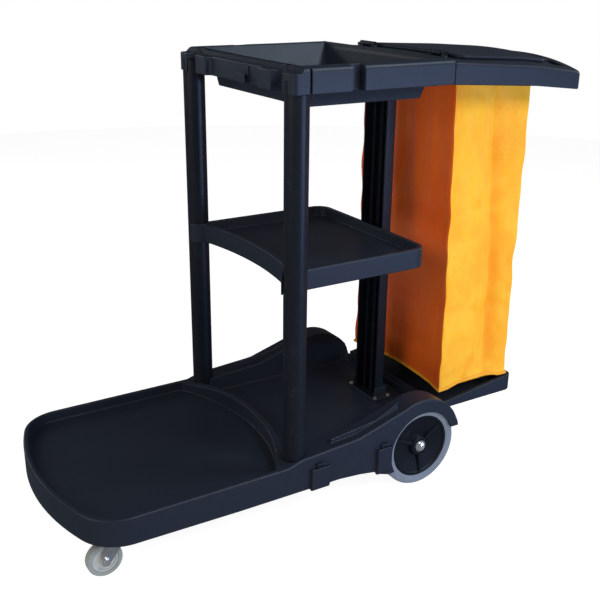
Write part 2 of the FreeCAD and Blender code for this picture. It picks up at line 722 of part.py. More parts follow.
def rear_platform():
    """The wedge-sided ledge behind the deck, under the bag."""
    front, rear, half = S["mid_rear"] + S["skin"] + 0.2, S["platform_rear"], S["platform_half"]
    side = [(front, S["platform_low"]), (rear, S["platform_low"]), (rear, S["platform_rear_top"]),
            (front, S["platform_front_top"])]
    corners = [(rear, side_sign * half, 16) for side_sign in (1, -1)]
    plan = prism("platform_plan", "XY", rectangle(front, -half, rear, half), 100, 220, corners)
    blank = common("platform_blank", [plan, prism("platform_side", "XZ", side, -200, 200)])
    wall = 12
    room = prism("platform_room", "XY",
                 rectangle(front + wall, wall - half, rear - wall, half - wall),
                 S["platform_floor"], 240,
                 [(rear - wall, side_sign * (half - wall), 8) for side_sign in (1, -1)])
    under = S["mid_floor"] - S["skin"]
    tongue = box("platform_tongue", (212, -150, under - 7), (front + 20, 150, under))
    riser = box("platform_riser", (front, -150, under - 7), (front + 20, 150, 146))
    return fuse("rear_platform", [cut("platform_dish", blank, [room]), tongue, riser])


# ---------------------------------------------------------------- rear wheels

def wheel_set(tag, hand):
    """Tyre, rim and hub bush of one rear wheel, drawn about the axle."""
    outer = S["wheel_outer"]
    inner = outer - S["wheel_width"]
    rim, radius = S["rim_radius"], S["wheel_radius"]
    tyre_points = [(rim, inner + 3), (radius - 12, inner), (radius - 3, inner + 5),
                   (radius, inner + 13), (radius, outer - 13), (radius - 3, outer - 5),
                   (radius - 12, outer), (rim, outer - 3)]
    rim_points = [(S["bush_radius"], inner + 2), (22, inner + 2), (24, outer - 18),
                  (68, outer - 12), (70, inner + 6), (rim, inner + 6), (rim, outer - 4),
                  (72, outer - 4), (70, outer - 7), (27, outer - 13), (22, outer - 3),
                  (S["bush_radius"], outer - 3)]
    bush_points = [(S["axle_radius"] + S["running_gap"], inner + 1),
                   (S["bush_radius"], inner + 1), (S["bush_radius"], outer - 2),
                   (S["axle_radius"] + S["running_gap"], outer - 2)]
    z = S["wheel_radius"]
    tyre = turned(f"tyre_{tag}_blank", tyre_points, S["axle_x"], z)
    disc = turned(f"rim_{tag}_disc", rim_points, S["axle_x"], z)
    bush = turned(f"bush_{tag}_blank", bush_points, S["axle_x"], z)
    ribs = []
    for index, angle in enumerate((35, 155, 275)):
        rib = DOC.addObject("Part::Box", f"rim_{tag}_rib{index}")
        bind(rib, "Length", 48)
        bind(rib, "Width", 9)
        bind(rib, "Height", 8)
        spin = FreeCAD.Rotation(V(0, 1, 0), -angle)
        start = spin.multVec(V(23, 0, -4)) + V(S["axle_x"].value, outer.value - 14, z.value)
        rib.Placement = FreeCAD.Placement(start, spin)
        ribs.append(rib)
    rim_solid = fuse(f"rim_{tag}_solid", [disc] + ribs)
    solids = {"tyre": tyre, "rim": rim_solid, "bush": bush}
    if hand > 0:
        return {f"rear_{name}_{tag}": solid for name, solid in solids.items()}
    return {f"rear_{name}_{tag}": mirrored(f"rear_{name}_{tag}", solid)
            for name, solid in solids.items()}


def rear_axle():
    length = S["wheel_outer"] * 2 - 2
    return cylinder("rear_axle", "y", (S["axle_x"], -length * 0.5, S["wheel_radius"]),
                    S["axle_radius"], length)


def axle_rings(name, start, length, outer, hands=(1, -1)):
    """Rings on both ends of the axle, start measured from the middle of the cart."""
    rings = []
    for hand in hands:
        low = start if hand > 0 else -start - length
        tag = "left" if hand > 0 else "right"
        rings.append(ring(f"{name}_{tag}", "y", (S["axle_x"], low, S["wheel_radius"]), outer,
                          S["axle_radius"], length))
    return rings


def axle_washers():
    inner = S["wheel_outer"] - S["wheel_width"] + 1 - S["side_gap"] - 2
    outer = S["wheel_outer"] - 2 + S["side_gap"]
    return group("axle_washers", axle_rings("inner_washer", inner, size(2), 14)
                 + axle_rings("outer_washer", outer, size(1.2), 14))


def axle_caps():
    """Domed push-on caps over the axle ends."""
    start = S["wheel_outer"] - 2 + S["side_gap"] + 1.2
    caps = []
    for hand in (1, -1):
        tag = "left" if hand > 0 else "right"
        points = [(0, S["wheel_outer"] - 1), (S["axle_radius"], S["wheel_outer"] - 1),
                  (S["axle_radius"], start), (10.5, start), (10.5, start + 3), (8.5, start + 5.5),
                  (4.5, start + 7), (0, start + 7.4)]
        cap = turned(f"axle_cap_{tag}_blank", points, S["axle_x"], S["wheel_radius"])
        caps.append(cap if hand > 0 else mirrored(f"axle_cap_{tag}", cap))
    return group("axle_caps", caps)


# ---------------------------------------------------------------- casters

def caster_parts(tag, hand):
    """Every piece of one front caster."""
    y = S["swivel_y"] * hand
    swivel_x, wheel_x = S["swivel_x"], S["swivel_x"] - S["caster_trail"]
    top, plate = S["fork_top"], S["fork_plate"]
    axle_z = S["caster_radius"]
    mount = prism(f"mount_plate_{tag}", "XY",
                  rectangle(swivel_x - 32, y - 28, swivel_x + 32, y + 28), S["plate_bottom"],
                  S["plate_bottom"] + S["plate_thickness"],
                  [(swivel_x + dx, y + dy, 5) for dx in (-32, 32) for dy in (-28, 28)])
    race = cylinder(f"race_{tag}", "z", (swivel_x, y, top + 2.2), 17, S["plate_bottom"] - top - 2.2)
    plates = fuse(f"caster_plate_{tag}_blank", [mount, race])
    pin_hole = cylinder(f"pin_hole_{tag}", "z", (swivel_x, y, top), S["kingpin_radius"], 20)
    plate_node = cut(f"caster_plate_{tag}", plates, [pin_hole])

    fork_top = cylinder(f"fork_crown_{tag}", "z", (swivel_x, y, top - plate), 21, plate)
    boss = cylinder(f"fork_boss_{tag}", "z", (swivel_x, y, top), 13, 1.8)
    leg_shape = [(wheel_x - 9, axle_z - 6), (wheel_x - 5, axle_z - 10), (wheel_x + 6, axle_z - 9),
                 (swivel_x + 17, top - 20), (swivel_x + 17, top), (swivel_x - 17, top),
                 (swivel_x - 19, top - 12), (wheel_x - 9, axle_z + 6)]
    gap, thickness = S["leg_gap"], S["leg_thickness"]
    legs = [prism(f"fork_leg_{tag}_outer", "XZ", leg_shape, y + gap, y + gap + thickness),
            prism(f"fork_leg_{tag}_inner", "XZ", leg_shape, y - gap - thickness, y - gap)]
    bridge = box(f"fork_bridge_{tag}", (swivel_x - 17, y - gap - 1, top - plate),
                 (swivel_x + 17, y + gap + 1, top))
    fork_tools = [cylinder(f"fork_pin_bore_{tag}", "z", (swivel_x, y, 60),
                           S["kingpin_radius"] + S["running_gap"], 50),
                  cylinder(f"fork_axle_bore_{tag}", "y", (wheel_x, y - 30, axle_z), 4, 60)]
    fork = cut(f"caster_fork_{tag}", fuse(f"fork_blank_{tag}", [fork_top, boss, bridge] + legs),
               fork_tools)

    kingpin = fuse(f"caster_kingpin_{tag}",
                   [cylinder(f"kingpin_shank_{tag}", "z", (swivel_x, y, 84), S["kingpin_radius"],
                             S["plate_bottom"] + S["plate_thickness"] - 84),
                    cylinder(f"kingpin_head_{tag}", "z", (swivel_x, y, 84), 9, top - plate - 84.4)])
    bolt = fuse(f"caster_axle_{tag}",
                [cylinder(f"axle_shank_{tag}", "y", (wheel_x, y - 19, axle_z), 4, 38),
                 cylinder(f"axle_head_{tag}", "y", (wheel_x, y - 16 - 5, axle_z), 7.5, 5),
                 cylinder(f"axle_nut_{tag}", "y", (wheel_x, y + 16, axle_z), 7, 5)])
    half = S["caster_width"] * 0.5
    core_points = [(4 + S["running_gap"], y - 12), (9, y - 12), (9, y - 6), (22, y - 5),
                   (24, y - half + 2), (S["core_radius"], y - half + 2),
                   (S["core_radius"], y + half - 2), (24, y + half - 2), (22, y + 5), (9, y + 6),
                   (9, y + 12), (4 + S["running_gap"], y + 12)]
    core = turned(f"caster_core_{tag}", core_points, wheel_x, axle_z)
    radius = S["caster_radius"]
    tyre_points = [(S["core_radius"], y - half + 1), (radius - 6, y - half), (radius - 1.5, y - half + 3),
                   (radius, y - 5), (radius, y + 5), (radius - 1.5, y + half - 3),
                   (radius - 6, y + half), (S["core_radius"], y + half - 1)]
    tyre = turned(f"caster_tyre_{tag}", tyre_points, wheel_x, axle_z)
    return {f"caster_plate_{tag}": plate_node, f"caster_fork_{tag}": fork,
            f"caster_kingpin_{tag}": kingpin, f"caster_axle_{tag}": bolt,
            f"caster_core_{tag}": core, f"caster_tyre_{tag}": tyre}


# ---------------------------------------------------------------- fasteners and small parts

def screw(name, axis, point, up, head=5, shank=2.5, length=12, thick=3):
    """A pan-head screw: point is under the head, up is +1 where the head faces +axis."""
    index = "xyz".index(axis)
    low_shank, low_head = list(point), list(point)
    if up > 0:
        low_shank[index] = size(point[index]) - length
    else:
        low_head[index] = size(point[index]) - thick
    return fuse(name, [cylinder(f"{name}_shank", axis, low_shank, shank, length),
                       cylinder(f"{name}_head", axis, low_head, head, thick)])


def screw_group(name, axis, points, up, **sizes):
    return group(name, [screw(f"{name}{index}", axis, point, up, **sizes)
                        for index, point in enumerate(points)])


def post_screws():
    """Long screws that pull the posts down into the deck."""
    return group("post_screws", [
        fuse(f"post_screw{index}",
             [cylinder(f"post_screw_shank{index}", "z", (S["post_x"], S["post_y"] * hand, 104), 4, 36),
              cylinder(f"post_screw_head{index}", "z", (S["post_x"], S["post_y"] * hand, 99), 8, 5),
              cylinder(f"post_plug{index}", "z", (S["post_x"], S["post_y"] * hand, 117),
                       S["post_radius"] - S["post_wall"], 18)])
        for index, hand in enumerate((1, -1))])


def pocket_clips():
    """Small spring clips in the mouths of the skirt pockets."""
    clips = []
    for hand in (1, -1):
        tag = "left" if hand > 0 else "right"
        for spot, (low_x, high_x, low_z, high_z) in POCKETS.items():
            middle = (low_x + high_x) / 2
            inside = S["deck_half"] + 0.7
            low, high = across(hand, inside, inside + 2.6)
            blade = box(f"clip_blade_{spot}_{tag}", (middle - 9, low, high_z - 30),
                        (middle + 9, high, high_z + 10))
            low, high = across(hand, inside, inside + 7)
            lip = box(f"clip_lip_{spot}_{tag}", (middle - 9, low, high_z + 7),
                      (middle + 9, high, high_z + 10))
            clips.append(fuse(f"clip_{spot}_{tag}", [blade, lip]))
    return group("pocket_clips", clips)


def tray_hook():
    """A scoop hook on the front of the tray for a dustpan or a cloth."""
    front = S["tray_front"] + S["lug_depth"]
    shape = [(front, 944), (front, 976), (front - 3, 976), (front - 3, 949), (front - 9, 949),
             (front - 9, 962), (front - 12, 962), (front - 12, 944)]
    return prism("tray_hook", "XZ", shape, -62, -30)


def column_head():
    """The bracket that ties the top of the column to the tray and the handle frame."""
    half = S["column_half"] + 8
    return box("column_head", (S["column_front"] - 6, -half, S["tray_bottom"] - S["head_plate"]),
               (S["column_rear"] + 6, half, S["tray_bottom"]))


def build_nodes():
    """Every named piece of the cart."""
    made = {
        "base_deck": base_deck(), "front_post_left": front_post("front_post_left", 1),
        "front_post_right": front_post("front_post_right", -1), "rear_column": rear_column(),
        "column_foot": column_foot(), "shelf": shelf(), "top_tray": top_tray(),
        "bag_frame": bag_frame(), "lid": lid(), "hinge_pins": hinge_pins(), "bag": bag(),
        "bag_hooks": bag_hooks(), "rear_platform": rear_platform(), "rear_axle": rear_axle(),
        "axle_washers": axle_washers(), "axle_caps": axle_caps(), "post_screws": post_screws(),
        "pocket_clips": pocket_clips(), "tray_hook": tray_hook(), "column_head": column_head(),
    }
    foot_y = S["column_half"] + 9
    made["foot_screws"] = screw_group(
        "foot_screws", "z", [(x, s * foot_y, 136) for x in (205, 245) for s in (1, -1)], 1,
        length=11)
    made["shelf_screws"] = screw_group(
        "shelf_screws", "x", [(S["column_rear"], s * 26, S["shelf_floor"] + 10) for s in (1, -1)], 1,
        length=33)
    for tag, hand in (("left", 1), ("right", -1)):
        made.update(wheel_set(tag, hand))
        made.update(caster_parts(tag, hand))
    made["caster_screws"] = screw_group(
        "caster_screws", "z",
        [(S["swivel_x"] + dx, S["swivel_y"] * hand + dy, S["plate_bottom"])
         for hand in (1, -1) for dx in (-24, 24) for dy in (-20, 20)], -1, length=14)
    return made


def check_and_export(made):
    """Stops on any failed object, then writes one STEP file for each piece."""
    DOC.recompute()
    for item in DOC.Objects:
        if "Invalid" in item.State or "Error" in item.State:
            raise RuntimeError(f"{item.Name} failed: {item.State}")
    os.makedirs("parts", exist_ok=True)
    for name, item in made.items():
        item.Label = name
        shape = item.Shape
        if shape.isNull() or not shape.isValid() or not shape.Solids:
            raise RuntimeError(f"{name} has no valid solid")
        shape.exportStep(f"parts/{name}.step")
        box_made = shape.BoundBox
        print(f"{name:24s} solids {len(shape.Solids)} volume {shape.Volume / 1000:9.1f} cm3 "
              f"x {box_made.XMin:.1f}..{box_made.XMax:.1f} y {box_made.YMin:.1f}..{box_made.YMax:.1f} "
              f"z {box_made.ZMin:.1f}..{box_made.ZMax:.1f}")


if __name__ == "__main__":
    check_and_export(build_nodes())
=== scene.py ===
"""Housekeeping cart: moulded plastics, wheels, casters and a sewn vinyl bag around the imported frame."""
import json
import math

import bmesh
import bpy
from bpy.props import FloatProperty, FloatVectorProperty, PointerProperty
from mathutils import Matrix, Vector, geometry, noise
from mathutils.bvhtree import BVHTree


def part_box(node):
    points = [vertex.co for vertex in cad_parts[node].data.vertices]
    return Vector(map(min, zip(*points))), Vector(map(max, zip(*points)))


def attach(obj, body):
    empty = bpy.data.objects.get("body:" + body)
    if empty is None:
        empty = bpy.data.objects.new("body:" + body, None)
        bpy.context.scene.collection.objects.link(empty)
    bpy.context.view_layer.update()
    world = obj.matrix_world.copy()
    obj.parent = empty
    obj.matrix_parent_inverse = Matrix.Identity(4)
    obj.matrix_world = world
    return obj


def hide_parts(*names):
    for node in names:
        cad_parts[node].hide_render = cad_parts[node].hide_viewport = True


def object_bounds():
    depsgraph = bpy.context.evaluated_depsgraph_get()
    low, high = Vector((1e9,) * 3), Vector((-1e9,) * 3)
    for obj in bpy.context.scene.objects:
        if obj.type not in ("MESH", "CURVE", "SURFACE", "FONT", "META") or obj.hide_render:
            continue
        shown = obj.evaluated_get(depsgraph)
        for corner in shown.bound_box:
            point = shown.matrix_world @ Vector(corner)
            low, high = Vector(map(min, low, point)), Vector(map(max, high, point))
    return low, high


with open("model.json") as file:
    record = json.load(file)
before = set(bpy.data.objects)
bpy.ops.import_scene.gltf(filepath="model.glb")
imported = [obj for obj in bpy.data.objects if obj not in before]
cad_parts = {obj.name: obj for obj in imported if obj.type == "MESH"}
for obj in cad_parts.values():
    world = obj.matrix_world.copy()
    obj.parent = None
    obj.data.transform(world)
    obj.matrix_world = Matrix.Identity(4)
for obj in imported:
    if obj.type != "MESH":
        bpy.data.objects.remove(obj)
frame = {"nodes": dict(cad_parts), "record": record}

bl_info = {
    "name": "Housekeeping Cart",
    "version": (1, 0, 0),
    "blender": (4, 5, 0),
    "location": "View3D > Sidebar > Cart",
    "description": "Finishes a wheeled housekeeping cart with moulded plastics and a sewn bag",
    "category": "Object",
}

CAD_LOW, CAD_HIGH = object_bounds()
NODES = frame["nodes"]

THREAD_PITCH = 0.0014       # of the bag cloth's basket weave
CLOTH_SKIN = 0.0015         # how far the cloth's cut shape stays inside the bag's own box
MOUTH_HALF = 0.1705         # half the width of the bag's mouth
PEGS_X = (0.330, 0.413, 0.496)      # the pegs under each side of the handle frame
FLOOR_RADIUS = 5.0
UP = Vector((0, 0, 1))


# ---------------------------------------------------------------- shader expressions

class Value:
    """One output of a shader node, usable in sums."""

    def __init__(self, finish, socket):
        self.finish = finish
        self.socket = socket

    def math(self, operation, *others):
        return self.finish.node("Math", {"operation": operation}, [self, *others])

    def __add__(self, other):
        return self.math("ADD", other)

    __radd__ = __add__

    def __sub__(self, other):
        return self.math("SUBTRACT", other)

    def __rsub__(self, other):
        return self.finish.node("Math", {"operation": "SUBTRACT"}, [other, self])

    def __mul__(self, other):
        return self.math("MULTIPLY", other)

    def clamp(self):
        return self.finish.node("Math", {"operation": "ADD", "use_clamp": True}, [self, 0.0])

    def between(self, low, high):
        """0 below low, 1 above high, smooth between."""
        return self.finish.node("MapRange", {"interpolation_type": "SMOOTHSTEP"},
                                {"Value": self, "From Min": low, "From Max": high})


class Finish:
    """A material built from expressions around one Principled shader."""

    def __init__(self, name, **sockets):
        self.material = bpy.data.materials.new(name)
        self.material.use_nodes = True
        self.tree = self.material.node_tree
        self.shader = self.tree.nodes["Principled BSDF"]
        for socket, value in sockets.items():
            self.shader.inputs[socket.replace("_", " ")].default_value = value

    def node(self, kind, settings=None, inputs=(), output=0):
        """A shader node with its settings, its inputs and one output to go on with."""
        node = self.tree.nodes.new(f"ShaderNode{kind}")
        for key, value in (settings or {}).items():
            setattr(node, key, value)
        pairs = inputs.items() if isinstance(inputs, dict) else enumerate(inputs)
        for key, value in pairs:
            socket = node.inputs[key]
            if isinstance(value, Value):
                self.tree.links.new(value.socket, socket)
            else:
                socket.default_value = value
        return Value(self, node.outputs[output])

    def link(self, **sockets):
        """Joins values to the shader's sockets."""
        for name, value in sockets.items():
            self.tree.links.new(value.socket, self.shader.inputs[name.replace("_", " ")])
        return self

    def place(self):
        return self.node("TexCoord", output="Object")

    def noise(self, scale, detail=3.0, roughness=0.5, vector=None, distortion=0.0):
        return self.node("TexNoise", {}, {
            "Vector": vector or self.place(), "Scale": scale, "Detail": detail,
            "Roughness": roughness, "Distortion": distortion}, output="Fac")

    def mix(self, factor, first, second):
        """Mixes two colours."""
        return self.node("Mix", {"data_type": "RGBA"}, {0: factor, 6: first, 7: second}, output=2)

    def tint(self, colour, factor, shade):
        """Multiplies a colour by a shade, as far as the factor says."""
        return self.node("Mix", {"data_type": "RGBA", "blend_type": "MULTIPLY"},
                         {0: factor, 6: colour, 7: rgb(shade)}, output=2)

    def axes(self):
        return [self.node("SeparateXYZ", {}, [self.place()], output=axis) for axis in "XYZ"]

    def stretch(self, x, y, z):
        return self.node("Mapping", {}, {"Vector": self.place(), "Scale": (x, y, z)})

    def bump(self, height, strength, distance, normal=None):
        inputs = {"Height": height, "Strength": strength, "Distance": distance}
        if normal:
            inputs["Normal"] = normal
        return self.node("Bump", {}, inputs)


def rgb(colour):
    """A colour with its alpha."""
    return (*tuple(colour)[:3], 1.0)


# ---------------------------------------------------------------- settings

class CartFinishSettings(bpy.types.PropertyGroup):
    """Colours and surface sizes of the moulded parts."""
    plastic: FloatVectorProperty(
        name="Plastic", description="Colour of the moulded plastic", subtype="COLOR",
        default=(0.0145, 0.0200, 0.0335), min=0, max=1)
    scuff: FloatVectorProperty(
        name="Scuff", description="Colour of light wear on the plastic", subtype="COLOR",
        default=(0.028, 0.037, 0.055), min=0, max=1)
    grain: FloatProperty(
        name="Grain", description="Size of the moulded grain", default=0.0011,
        unit="LENGTH", min=0.0002, max=0.01)
    tyre: FloatVectorProperty(
        name="Tyre", description="Colour of the rear tyres", subtype="COLOR",
        default=(0.165, 0.195, 0.240), min=0, max=1)
    caster_tyre: FloatVectorProperty(
        name="Caster tyre", description="Colour of the caster tyres", subtype="COLOR",
        default=(0.30, 0.335, 0.315), min=0, max=1)


class CartBagSettings(bpy.types.PropertyGroup):
    """Sizes and colours of the bag."""
    cloth: FloatVectorProperty(
        name="Cloth", description="Colour of the coated cloth", subtype="COLOR",
        default=(0.95, 0.480, 0.022), min=0, max=1)
    # The front panel's redder, darker colour is painted shade: it stands for the shade on the bag's side
    # that faces the deck.
    front: FloatVectorProperty(
        name="Front panel", description="Colour of the panel that faces the deck",
        subtype="COLOR", default=(0.92, 0.150, 0.014), min=0, max=1)
    square: FloatProperty(
        name="Square", description="Size of the squares that the cloth is simulated with",
        default=0.0095, unit="LENGTH", min=0.004, max=0.05)
    give: FloatProperty(
        name="Give", description="Most that the cloth may hang away from its cut shape",
        default=0.010, unit="LENGTH", min=0.0, max=0.02)
    lift: FloatProperty(
        name="Hem lift", description="How far the middle of each lower edge rises above its corners",
        default=0.014, unit="LENGTH", min=0.0, max=0.05)
    flap: FloatProperty(
        name="Flap", description="Width of the sewn flap on each side", default=0.029,
        unit="LENGTH", min=0.005, max=0.06)


class CartStudioSettings(bpy.types.PropertyGroup):
    """The camera: its lens, heading, tilt, roll and place."""
    lens: FloatProperty(name="Lens", description="Focal length", default=53.55, min=10, max=200)
    heading: FloatProperty(
        name="Heading", description="Turn of the camera from straight along +Y, to the right",
        default=math.radians(31.66), subtype="ANGLE")
    tilt: FloatProperty(
        name="Tilt", description="How far the camera looks down", default=math.radians(20.566),
        subtype="ANGLE")
    roll: FloatProperty(
        name="Roll", description="Lean of the camera", default=math.radians(0.643), subtype="ANGLE")
    spot: FloatVectorProperty(
        name="Camera place", description="Where the camera stands", subtype="TRANSLATION",
        default=(-1.0313, -1.6891, 1.1684))


# ---------------------------------------------------------------- finishes

def moulded_plastic(name, colour, scuff, rough, grain):
    """Dark moulded plastic: fine spark-eroded grain, faint flow marks and rubbed patches."""
    finish = Finish(name, IOR=1.49, Specular_IOR_Level=0.26)
    clouds = finish.noise(9.0, 5.0, 0.6)
    rubs = finish.noise(55.0, 6.0, 0.72, distortion=0.4)
    wear = (clouds.between(0.45, 0.75) * rubs.between(0.50, 0.72)).clamp()
    base = finish.mix(wear * 0.55, rgb(colour), rgb(scuff))
    dust = finish.noise(430.0, 2.0, 0.5).between(0.62, 0.80)
    pale_dust = [min(1.0, channel * 2.2) for channel in scuff]
    base = finish.mix(dust * 0.16, base, rgb(pale_dust))
    fine = finish.node("TexVoronoi", {"feature": "SMOOTH_F1"},
                       {"Vector": finish.place(), "Scale": 1.0 / grain, "Smoothness": 0.6},
                       output="Distance")
    coarse = finish.noise(0.35 / grain, 2.0, 0.5)
    waves = finish.noise(6.0, 2.0, 0.4)
    height = fine * 0.5 + coarse * 0.5
    bumped = finish.bump(height, 0.22, 0.00025)
    bumped = finish.bump(waves, 0.10, 0.004, bumped)
    rough_map = rough + (clouds - 0.5) * 0.10 + (rubs - 0.5) * 0.12 + fine * 0.04
    return finish.link(Base_Color=base, Roughness=rough_map.clamp(), Normal=bumped).material


def plain_metal(name, colour, rough, brushed, metallic=1.0):
    """Plated steel with faint drawing lines."""
    finish = Finish(name, Metallic=metallic)
    lines = finish.noise(1.0, 4.0, 0.6, vector=finish.stretch(40, 900, 900))
    clouds = finish.noise(60.0, 4.0, 0.6)
    base = finish.mix(clouds.between(0.35, 0.75), rgb(colour),
                      rgb([c * 0.72 for c in colour]))
    rough_map = rough + (lines - 0.5) * brushed + (clouds - 0.5) * 0.12
    bumped = finish.bump(lines, 0.08, 0.0002)
    return finish.link(Base_Color=base, Roughness=rough_map.clamp(), Normal=bumped).material


def rubber(name, colour, dirt, rough=0.62):
    """Soft tyre rubber with dust on the tread and fine pitting."""
    finish = Finish(name, IOR=1.5)
    clouds = finish.noise(26.0, 5.0, 0.65)
    pits = finish.noise(900.0, 2.0, 0.6)
    streaks = finish.noise(90.0, 6.0, 0.7, distortion=0.6)
    base = finish.mix(clouds.between(0.35, 0.7) * 0.6, rgb(colour),
                      rgb([c * 0.80 for c in colour]))
    base = finish.mix(streaks.between(0.55, 0.75) * 0.45, base, rgb(dirt))
    rough_map = rough + (clouds - 0.5) * 0.14 + (pits - 0.5) * 0.08
    bumped = finish.bump(pits, 0.16, 0.0004)
    return finish.link(Base_Color=base, Roughness=rough_map.clamp(), Normal=bumped).material


def coated_cloth(name, colour, front=None):
    """Coated bag cloth: fine basket weave, soft mottling and pale lines along old creases, with painted
    shade darkening the folds' valleys and, when a front colour is given, the panel that faces the deck.
    """
    finish = Finish(name, IOR=1.5, Specular_IOR_Level=0.16, Sheen_Weight=0.04, Sheen_Roughness=0.4)
    x, y, z = finish.axes()
    threads = math.tau / THREAD_PITCH
    weave = ((x + y) * threads).math("SINE") * (z * threads).math("SINE") * 0.5 + 0.5
    clouds = finish.noise(7.0, 5.0, 0.6)
    mottle = finish.noise(60.0, 5.0, 0.65, distortion=0.5)
    creases = finish.noise(3.2, 6.0, 0.75, vector=finish.stretch(3.0, 3.0, 1.3), distortion=1.4)
    crease = 1.0 - (creases - 0.5).math("ABSOLUTE").between(0.0, 0.035)
    base = rgb(colour)
    # Painted shade: the panel that faces the deck, picked by the front-panel mask, gets the darker,
    # redder front colour.
    if front:
        aside = finish.node("Attribute", {"attribute_name": "deck_side_shade"}, output="Fac")
        base = finish.mix(aside, base, rgb(front))
    base = finish.tint(base, clouds.between(0.40, 0.66) * 0.85, (1.0, 0.80, 0.5))
    # Painted shade: the cloth colour darkens where the side panel sinks into a fold's valley.
    valley_shade = finish.node("Attribute", {"attribute_name": "valley_shade"}, output="Fac")
    base = finish.tint(base, valley_shade * 0.9, (0.96, 0.72, 0.3))
    base = finish.tint(base, mottle.between(0.55, 0.75) * 0.40, (1.04, 1.15, 1.8))
    base = finish.tint(base, weave * 0.16, (0.86, 0.78, 0.7))
    base = finish.tint(base, crease * 0.38, (1.05, 1.22, 2.4))
    bumped = finish.bump(weave, 0.10, 0.0002)
    bumped = finish.bump(crease * 0.5 + mottle * 0.35, 0.24, 0.0018, bumped)
    rough_map = 0.46 + (clouds - 0.5) * 0.12 + (mottle - 0.5) * 0.10 + weave * 0.04
    return finish.link(Base_Color=base, Roughness=rough_map.clamp(), Normal=bumped).material


# ---------------------------------------------------------------- mesh helpers

def new_piece(name, bm, material, body, replaces=(), smooth_angle=35):
    """Turns a bmesh into a finished piece that rides on a body."""
    mesh = bpy.data.meshes.new(name)
    bm.to_mesh(mesh)
    bm.free()
    for face in mesh.polygons:
        face.use_smooth = True
    mesh.set_sharp_from_angle(angle=math.radians(smooth_angle))
    mesh.materials.append(material)
    piece = bpy.data.objects.new(name, mesh)
    bpy.context.scene.collection.objects.link(piece)
    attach(piece, body)
    if replaces:
        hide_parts(*replaces)
    return piece


def merged_copy(node):
    """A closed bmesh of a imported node, with its flat faces whole again."""
    bm = bmesh.new()
    bm.from_mesh(NODES[node].data)
    bmesh.ops.remove_doubles(bm, verts=bm.verts, dist=0.00002)
    bmesh.ops.dissolve_limit(bm, angle_limit=math.radians(0.06), verts=bm.verts,
                             edges=bm.edges, use_dissolve_boundaries=False)
    bmesh.ops.connect_verts_concave(bm, faces=bm.faces)
    return bm


def roll_rim(bm, low_z, width):
    """Rolls the outer top edge of a moulding over with a larger radius."""
    steepest, flattest, outermost = 0.3, 0.35, 0.0012
    spots = [vert.co.xy for vert in bm.verts if vert.co.z > low_z]
    hull = [spots[index] for index in geometry.convex_hull_2d(spots)]
    picked = []
    for edge in bm.edges:
        if len(edge.link_faces) != 2 or edge.calc_face_angle_signed() < math.radians(45):
            continue
        side, top = sorted(edge.link_faces, key=lambda face: abs(face.normal.z))
        spot = edge.verts[0].co.lerp(edge.verts[1].co, 0.5)
        if spot.z < low_z or abs(side.normal.z) > steepest or top.normal.z < flattest:
            continue
        if max((far - spot.xy).dot(side.normal.xy) for far in hull) < outermost:
            picked.append(edge)
    bmesh.ops.bevel(bm, geom=picked, offset=width, offset_type="OFFSET", segments=5, profile=0.5,
                    affect="EDGES", clamp_overlap=False, material=-1)
    return bm


def finish_of(node):
    """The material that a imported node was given."""
    return NODES[node].data.materials[0]


def refit(node, name, bm, body):
    """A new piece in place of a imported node, in that node's finish."""
    return new_piece(name, bm, finish_of(node), body, [node])


def soften(piece, width, segments=3):
    """Gives a moulded piece its small edge radius."""
    bevel = piece.modifiers.new("mould radius", "BEVEL")
    bevel.width = width
    bevel.segments = segments
    bevel.limit_method = "ANGLE"
    bevel.angle_limit = math.radians(32)
    bevel.use_clamp_overlap = False
    bevel.harden_normals = True
    bevel.miter_outer = "MITER_ARC"
    even = piece.modifiers.new("flat faces", "WEIGHTED_NORMAL")
    even.keep_sharp = True
    even.weight = 80
    return piece


def spun(name, profile, centre, steps, node, body):
    """A closed ring turned about a line along Y. profile is a loop of (radius, y) in metres."""
    bm = bmesh.new()
    ring = [bm.verts.new((centre[0] + radius, y, centre[2])) for radius, y in profile]
    edges = [bm.edges.new((ring[i], ring[(i + 1) % len(ring)])) for i in range(len(ring))]
    bmesh.ops.spin(bm, geom=ring + edges, cent=centre, axis=(0, 1, 0), angle=math.tau,
                   steps=steps, use_merge=True)
    bmesh.ops.remove_doubles(bm, verts=bm.verts, dist=0.00001)
    bmesh.ops.recalc_face_normals(bm, faces=bm.faces)
    return new_piece(name, bm, finish_of(node), body, [node], 40)


def arc_points(centre_r, centre_y, radius, start, end, count):
    """Points of a round shoulder in a (radius, y) profile, angles in degrees."""
    return [(centre_r + radius * math.cos(math.radians(start + (end - start) * i / (count - 1))),
             centre_y + radius * math.sin(math.radians(start + (end - start) * i / (count - 1))))
            for i in range(count)]


def bead(bm, centre, axis, radius, thickness, steps=32):
    """A round ring about an axis."""
    across = UP if axis.z < 0.5 else Vector((1, 0, 0))
    turn = across.cross(axis).to_track_quat("Z", "Y").to_matrix().to_4x4()
    made = bmesh.ops.create_circle(bm, segments=8, radius=thickness / 2,
                                   matrix=Matrix.Translation(centre + across * radius) @ turn)
    edges = list(dict.fromkeys(edge for vert in made["verts"] for edge in vert.link_edges))
    bmesh.ops.spin(bm, geom=made["verts"] + edges, cent=centre, axis=axis, angle=math.tau,
                   steps=steps, use_merge=True)


